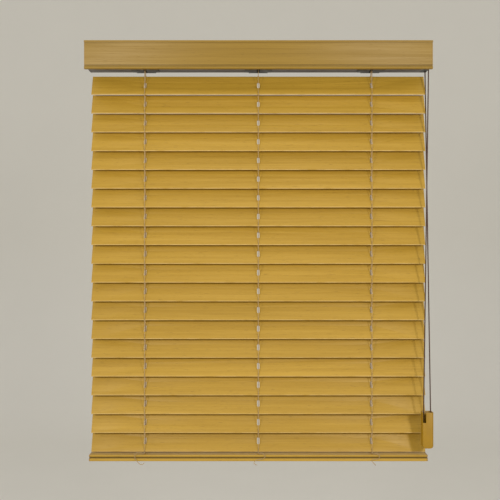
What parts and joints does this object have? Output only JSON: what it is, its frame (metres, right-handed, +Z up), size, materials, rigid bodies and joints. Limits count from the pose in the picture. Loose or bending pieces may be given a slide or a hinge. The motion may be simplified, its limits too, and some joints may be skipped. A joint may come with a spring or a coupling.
{
  "type": "venetian blind",
  "caption": "Closed venetian blind with wood-look slats on cord ladders, a moulded valance over the headrail, a flat bottom rail and a corded side control with a tensioner.",
  "frame": {"origin": "centre of the four bracket screw holes, on the flat top face that meets the head of the window reveal", "axes": "+X to the right seen from the room, +Y towards the window, +Z up"},
  "size_m": [0.784, 0.0908, 0.9609],
  "materials": {
    "headrail_steel": "satin powder coat",
    "bracket_steel": "satin",
    "black_plastic": "matte moulded",
    "clip_plastic": "translucent moulded",
    "white_plastic": "matte moulded",
    "shaft_steel": "drawn",
    "oak_slat": "satin oak grain",
    "oak_valance": "satin oak grain",
    "oak_rail": "satin oak grain",
    "rail_plastic": "satin moulded",
    "ladder_cord": "braided polyester",
    "control_cord": "braided polyester",
    "tensioner_plastic": "moulded"
  },
  "bodies": {
    "root": {"headrail": "headrail_steel", "end_cap": "black_plastic", "mounting_brackets": "bracket_steel", "valance": "oak_valance", "valance_clips": "clip_plastic", "ladder_cradles": "black_plastic", "clutch_housing": "black_plastic", "head_cords": "ladder_cord", "cord_loop": "control_cord", "tensioner_body": "tensioner_plastic"},
    "drive": {"drive_shaft": "shaft_steel", "lift_spools": "white_plastic", "cord_wheel": "black_plastic"},
    "drums": {"tilt_drums": "white_plastic"},
    "idler": {"tensioner_wheel": "white_plastic"},
    "rail": {"bottom_rail": "oak_rail", "rail_end_caps": "rail_plastic", "cord_plugs": "rail_plastic", "rail_cords": "ladder_cord"},
    "front_ladder": {"front_strings": "ladder_cord"},
    "rear_ladder": {"rear_strings": "ladder_cord"},
    "slat_01": {"slat_01": "oak_slat"},
    "slat_02": {"slat_02": "oak_slat"},
    "slat_03": {"slat_03": "oak_slat"},
    "slat_04": {"slat_04": "oak_slat"},
    "slat_05": {"slat_05": "oak_slat"},
    "slat_06": {"slat_06": "oak_slat"},
    "slat_07": {"slat_07": "oak_slat"},
    "slat_08": {"slat_08": "oak_slat"},
    "slat_09": {"slat_09": "oak_slat"},
    "slat_10": {"slat_10": "oak_slat"},
    "slat_11": {"slat_11": "oak_slat"},
    "slat_12": {"slat_12": "oak_slat"},
    "slat_13": {"slat_13": "oak_slat"},
    "slat_14": {"slat_14": "oak_slat"},
    "slat_15": {"slat_15": "oak_slat"},
    "slat_16": {"slat_16": "oak_slat"},
    "slat_17": {"slat_17": "oak_slat"},
    "slat_18": {"slat_18": "oak_slat"},
    "slat_19": {"slat_19": "oak_slat"},
    "slat_20": {"slat_20": "oak_slat"},
    "level_02": {"lift_cord_02": "ladder_cord"},
    "level_03": {"lift_cord_03": "ladder_cord"},
    "level_04": {"lift_cord_04": "ladder_cord"},
    "level_05": {"lift_cord_05": "ladder_cord"},
    "level_06": {"lift_cord_06": "ladder_cord"},
    "level_07": {"lift_cord_07": "ladder_cord"},
    "level_08": {"lift_cord_08": "ladder_cord"},
    "level_09": {"lift_cord_09": "ladder_cord"},
    "level_10": {"lift_cord_10": "ladder_cord"},
    "level_11": {"lift_cord_11": "ladder_cord"},
    "level_12": {"lift_cord_12": "ladder_cord"},
    "level_13": {"lift_cord_13": "ladder_cord"},
    "level_14": {"lift_cord_14": "ladder_cord"},
    "level_15": {"lift_cord_15": "ladder_cord"},
    "level_16": {"lift_cord_16": "ladder_cord"},
    "level_17": {"lift_cord_17": "ladder_cord"},
    "level_18": {"lift_cord_18": "ladder_cord"},
    "level_19": {"lift_cord_19": "ladder_cord"},
    "level_20": {"lift_cord_20": "ladder_cord"}
  },
  "joints": [
    {"name": "blind_lift", "type": "slide", "parent": "root", "child": "rail", "axis": [0, 0, 1], "range_m": [0, 0.67], "deforming": ["front_strings", "rear_strings", "lift_cord_02", "lift_cord_03", "lift_cord_04", "lift_cord_05", "lift_cord_06", "lift_cord_07", "lift_cord_08", "lift_cord_09", "lift_cord_10", "lift_cord_11", "lift_cord_12", "lift_cord_13", "lift_cord_14", "lift_cord_15", "lift_cord_16", "lift_cord_17", "lift_cord_18", "lift_cord_19", "lift_cord_20"]},
    {"name": "slat_tilt", "type": "hinge", "parent": "root", "child": "slat_01", "pos_m": [0, 0, -0.0935], "axis": [-1, 0, 0], "range_deg": [0, 130], "deforming": ["head_cords", "rail_cords"]},
    {"name": "front_ladder_swing", "type": "hinge", "parent": "slat_01", "child": "front_ladder", "pos_m": [0, -0.01217, -0.1196], "axis": [-1, 0, 0], "range_deg": [-130, 0]},
    {"name": "rear_ladder_swing", "type": "hinge", "parent": "slat_01", "child": "rear_ladder", "pos_m": [0, 0.01217, -0.0674], "axis": [-1, 0, 0], "range_deg": [-130, 0]},
    {"name": "drum_turn", "type": "hinge", "parent": "root", "child": "drums", "pos_m": [0, 0, -0.03], "axis": [-1, 0, 0], "range_deg": [0, 246]},
    {"name": "shaft_turn", "type": "hinge", "parent": "root", "child": "drive", "pos_m": [0, 0, -0.03], "axis": [1, 0, 0], "range_deg": [0, 4320]},
    {"name": "tensioner_wheel_turn", "type": "hinge", "parent": "root", "child": "idler", "pos_m": [0.379, -0.046, -0.885], "axis": [0, -1, 0], "range_deg": [0, 11180]},
    {"name": "level_02_lift", "type": "slide", "parent": "root", "child": "level_02", "axis": [0, 0, 1], "range_m": [0, 0.03536]},
    {"name": "slat_02_tilt", "type": "hinge", "parent": "level_02", "child": "slat_02", "pos_m": [0, 0, -0.1365], "axis": [-1, 0, 0], "range_deg": [0, 130]},
    {"name": "level_03_lift", "type": "slide", "parent": "root", "child": "level_03", "axis": [0, 0, 1], "range_m": [0, 0.07063]},
    {"name": "slat_03_tilt", "type": "hinge", "parent": "level_03", "child": "slat_03", "pos_m": [0, 0, -0.1795], "axis": [-1, 0, 0], "range_deg": [0, 130]},
    {"name": "level_04_lift", "type": "slide", "parent": "root", "child": "level_04", "axis": [0, 0, 1], "range_m": [0, 0.10589]},
    {"name": "slat_04_tilt", "type": "hinge", "parent": "level_04", "child": "slat_04", "pos_m": [0, 0, -0.2225], "axis": [-1, 0, 0], "range_deg": [0, 130]},
    {"name": "level_05_lift", "type": "slide", "parent": "root", "child": "level_05", "axis": [0, 0, 1], "range_m": [0, 0.14115]},
    {"name": "slat_05_tilt", "type": "hinge", "parent": "level_05", "child": "slat_05", "pos_m": [0, 0, -0.2655], "axis": [-1, 0, 0], "range_deg": [0, 130]},
    {"name": "level_06_lift", "type": "slide", "parent": "root", "child": "level_06", "axis": [0, 0, 1], "range_m": [0, 0.17642]},
    {"name": "slat_06_tilt", "type": "hinge", "parent": "level_06", "child": "slat_06", "pos_m": [0, 0, -0.3085], "axis": [-1, 0, 0], "range_deg": [0, 130]},
    {"name": "level_07_lift", "type": "slide", "parent": "root", "child": "level_07", "axis": [0, 0, 1], "range_m": [0, 0.21168]},
    {"name": "slat_07_tilt", "type": "hinge", "parent": "level_07", "child": "slat_07", "pos_m": [0, 0, -0.3515], "axis": [-1, 0, 0], "range_deg": [0, 130]},
    {"name": "level_08_lift", "type": "slide", "parent": "root", "child": "level_08", "axis": [0, 0, 1], "range_m": [0, 0.24694]},
    {"name": "slat_08_tilt", "type": "hinge", "parent": "level_08", "child": "slat_08", "pos_m": [0, 0, -0.3945], "axis": [-1, 0, 0], "range_deg": [0, 130]},
    {"name": "level_09_lift", "type": "slide", "parent": "root", "child": "level_09", "axis": [0, 0, 1], "range_m": [0, 0.2822]},
    {"name": "slat_09_tilt", "type": "hinge", "parent": "level_09", "child": "slat_09", "pos_m": [0, 0, -0.4375], "axis": [-1, 0, 0], "range_deg": [0, 130]},
    {"name": "level_10_lift", "type": "slide", "parent": "root", "child": "level_10", "axis": [0, 0, 1], "range_m": [0, 0.31747]},
    {"name": "slat_10_tilt", "type": "hinge", "parent": "level_10", "child": "slat_10", "pos_m": [0, 0, -0.4805], "axis": [-1, 0, 0], "range_deg": [0, 130]},
    {"name": "level_11_lift", "type": "slide", "parent": "root", "child": "level_11", "axis": [0, 0, 1], "range_m": [0, 0.35273]},
    {"name": "slat_11_tilt", "type": "hinge", "parent": "level_11", "child": "slat_11", "pos_m": [0, 0, -0.5235], "axis": [-1, 0, 0], "range_deg": [0, 130]},
    {"name": "level_12_lift", "type": "slide", "parent": "root", "child": "level_12", "axis": [0, 0, 1], "range_m": [0, 0.38799]},
    {"name": "slat_12_tilt", "type": "hinge", "parent": "level_12", "child": "slat_12", "pos_m": [0, 0, -0.5665], "axis": [-1, 0, 0], "range_deg": [0, 130]},
    {"name": "level_13_lift", "type": "slide", "parent": "root", "child": "level_13", "axis": [0, 0, 1], "range_m": [0, 0.42326]},
    {"name": "slat_13_tilt", "type": "hinge", "parent": "level_13", "child": "slat_13", "pos_m": [0, 0, -0.6095], "axis": [-1, 0, 0], "range_deg": [0, 130]},
    {"name": "level_14_lift", "type": "slide", "parent": "root", "child": "level_14", "axis": [0, 0, 1], "range_m": [0, 0.45852]},
    {"name": "slat_14_tilt", "type": "hinge", "parent": "level_14", "child": "slat_14", "pos_m": [0, 0, -0.6525], "axis": [-1, 0, 0], "range_deg": [0, 130]},
    {"name": "level_15_lift", "type": "slide", "parent": "root", "child": "level_15", "axis": [0, 0, 1], "range_m": [0, 0.49378]},
    {"name": "slat_15_tilt", "type": "hinge", "parent": "level_15", "child": "slat_15", "pos_m": [0, 0, -0.6955], "axis": [-1, 0, 0], "range_deg": [0, 130]},
    {"name": "level_16_lift", "type": "slide", "parent": "root", "child": "level_16", "axis": [0, 0, 1], "range_m": [0, 0.52905]},
    {"name": "slat_16_tilt", "type": "hinge", "parent": "level_16", "child": "slat_16", "pos_m": [0, 0, -0.7385], "axis": [-1, 0, 0], "range_deg": [0, 130]},
    {"name": "level_17_lift", "type": "slide", "parent": "root", "child": "level_17", "axis": [0, 0, 1], "range_m": [0, 0.56431]},
    {"name": "slat_17_tilt", "type": "hinge", "parent": "level_17", "child": "slat_17", "pos_m": [0, 0, -0.7815], "axis": [-1, 0, 0], "range_deg": [0, 130]},
    {"name": "level_18_lift", "type": "slide", "parent": "root", "child": "level_18", "axis": [0, 0, 1], "range_m": [0, 0.59957]},
    {"name": "slat_18_tilt", "type": "hinge", "parent": "level_18", "child": "slat_18", "pos_m": [0, 0, -0.8245], "axis": [-1, 0, 0], "range_deg": [0, 130]},
    {"name": "level_19_lift", "type": "slide", "parent": "root", "child": "level_19", "axis": [0, 0, 1], "range_m": [0, 0.63484]},
    {"name": "slat_19_tilt", "type": "hinge", "parent": "level_19", "child": "slat_19", "pos_m": [0, 0, -0.8675], "axis": [-1, 0, 0], "range_deg": [0, 130]},
    {"name": "level_20_lift", "type": "slide", "parent": "root", "child": "level_20", "axis": [0, 0, 1], "range_m": [0, 0.6701]},
    {"name": "slat_20_tilt", "type": "hinge", "parent": "level_20", "child": "slat_20", "pos_m": [0, 0, -0.9105], "axis": [-1, 0, 0], "range_deg": [0, 130]}
  ],
  "couplings": [
    {"joint": "front_ladder_swing", "follows": "slat_tilt", "ratio": -1},
    {"joint": "rear_ladder_swing", "follows": "slat_tilt", "ratio": -1},
    {"joint": "drum_turn", "follows": "slat_tilt", "ratio": 1.89},
    {"joint": "shaft_turn", "follows": "blind_lift", "rad_per_m": 112.36},
    {"joint": "tensioner_wheel_turn", "follows": "blind_lift", "rad_per_m": 290.8},
    {"joint": "level_02_lift", "follows": "blind_lift", "ratio": 0.052632},
    {"joint": "slat_02_tilt", "follows": "slat_tilt", "ratio": 1},
    {"joint": "level_03_lift", "follows": "blind_lift", "ratio": 0.10526},
    {"joint": "slat_03_tilt", "follows": "slat_tilt", "ratio": 1},
    {"joint": "level_04_lift", "follows": "blind_lift", "ratio": 0.15789},
    {"joint": "slat_04_tilt", "follows": "slat_tilt", "ratio": 1},
    {"joint": "level_05_lift", "follows": "blind_lift", "ratio": 0.21053},
    {"joint": "slat_05_tilt", "follows": "slat_tilt", "ratio": 1},
    {"joint": "level_06_lift", "follows": "blind_lift", "ratio": 0.26316},
    {"joint": "slat_06_tilt", "follows": "slat_tilt", "ratio": 1},
    {"joint": "level_07_lift", "follows": "blind_lift", "ratio": 0.31579},
    {"joint": "slat_07_tilt", "follows": "slat_tilt", "ratio": 1},
    {"joint": "level_08_lift", "follows": "blind_lift", "ratio": 0.36842},
    {"joint": "slat_08_tilt", "follows": "slat_tilt", "ratio": 1},
    {"joint": "level_09_lift", "follows": "blind_lift", "ratio": 0.42105},
    {"joint": "slat_09_tilt", "follows": "slat_tilt", "ratio": 1},
    {"joint": "level_10_lift", "follows": "blind_lift", "ratio": 0.47368},
    {"joint": "slat_10_tilt", "follows": "slat_tilt", "ratio": 1},
    {"joint": "level_11_lift", "follows": "blind_lift", "ratio": 0.52632},
    {"joint": "slat_11_tilt", "follows": "slat_tilt", "ratio": 1},
    {"joint": "level_12_lift", "follows": "blind_lift", "ratio": 0.57895},
    {"joint": "slat_12_tilt", "follows": "slat_tilt", "ratio": 1},
    {"joint": "level_13_lift", "follows": "blind_lift", "ratio": 0.63158},
    {"joint": "slat_13_tilt", "follows": "slat_tilt", "ratio": 1},
    {"joint": "level_14_lift", "follows": "blind_lift", "ratio": 0.68421},
    {"joint": "slat_14_tilt", "follows": "slat_tilt", "ratio": 1},
    {"joint": "level_15_lift", "follows": "blind_lift", "ratio": 0.73684},
    {"joint": "slat_15_tilt", "follows": "slat_tilt", "ratio": 1},
    {"joint": "level_16_lift", "follows": "blind_lift", "ratio": 0.78947},
    {"joint": "slat_16_tilt", "follows": "slat_tilt", "ratio": 1},
    {"joint": "level_17_lift", "follows": "blind_lift", "ratio": 0.84211},
    {"joint": "slat_17_tilt", "follows": "slat_tilt", "ratio": 1},
    {"joint": "level_18_lift", "follows": "blind_lift", "ratio": 0.89474},
    {"joint": "slat_18_tilt", "follows": "slat_tilt", "ratio": 1},
    {"joint": "level_19_lift", "follows": "blind_lift", "ratio": 0.94737},
    {"joint": "slat_19_tilt", "follows": "slat_tilt", "ratio": 1},
    {"joint": "level_20_lift", "follows": "blind_lift", "ratio": 1},
    {"joint": "slat_20_tilt", "follows": "slat_tilt", "ratio": 1}
  ]
}
